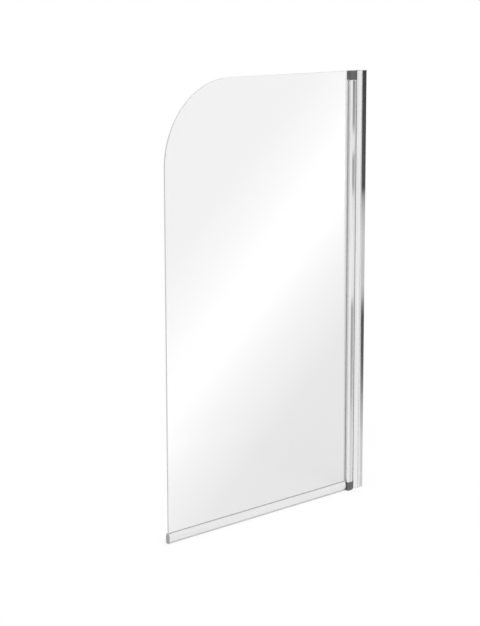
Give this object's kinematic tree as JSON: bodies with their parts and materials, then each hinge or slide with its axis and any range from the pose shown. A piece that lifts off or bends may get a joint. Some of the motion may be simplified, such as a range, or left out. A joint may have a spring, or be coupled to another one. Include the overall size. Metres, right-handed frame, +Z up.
{
  "type": "bath screen",
  "caption": "Frameless hinged bath screen: clear glass panel with a round top corner, on a vertical pivot beside a slim adjustable wall profile, with a drip rail below.",
  "frame": {"origin": "foot of the wall channel's back face, midway across it", "axes": "+X into the wall, square to it; the screen reaches along -X; +Z up; the side seen first faces -Y"},
  "size_m": [0.85, 0.0316, 1.4],
  "materials": {
    "bright_aluminium": "polished and bright anodised",
    "clear_glass": "clear toughened, polished edges",
    "grey_nylon": "moulded, fine matt grain",
    "stainless_steel": "turned",
    "white_acetal": "moulded",
    "silver_cap_plastic": "silver-coated moulding",
    "grey_gasket": "soft extruded strip",
    "clear_pvc": "soft clear extruded strip"
  },
  "bodies": {
    "wall": {"wall_channel": "bright_aluminium", "channel_top_plug": "white_acetal", "channel_bottom_plug": "white_acetal", "adjusting_screws": "stainless_steel", "cap_washers": "white_acetal", "screw_cover_caps": "silver_cap_plastic", "clamp_nuts": "stainless_steel"},
    "post": {"pivot_post": "bright_aluminium", "upper_pivot_block": "grey_nylon", "lower_pivot_block": "grey_nylon", "upper_pivot_pin": "stainless_steel", "lower_pivot_pin": "stainless_steel", "block_screws": "stainless_steel", "thrust_washers": "white_acetal", "post_seal": "grey_gasket"},
    "panel": {"glazing_tube": "bright_aluminium", "upper_bush": "white_acetal", "lower_bush": "white_acetal", "glass_pane": "clear_glass", "front_glazing_gasket": "grey_gasket", "rear_glazing_gasket": "grey_gasket", "glass_packers": "white_acetal", "bottom_rail": "bright_aluminium", "rail_gasket": "clear_pvc", "wiper_blade": "clear_pvc", "rail_outer_cap": "grey_nylon", "rail_inner_cap": "grey_nylon"}
  },
  "joints": [
    {"name": "width_adjust", "type": "slide", "parent": "wall", "child": "post", "axis": [-1, 0, 0], "range_m": [0, 0.008]},
    {"name": "screen_swing", "type": "hinge", "parent": "post", "child": "panel", "pos_m": [-0.054, 0, 0], "axis": [0, 0, 1], "range_deg": [-90, 90]}
  ]
}
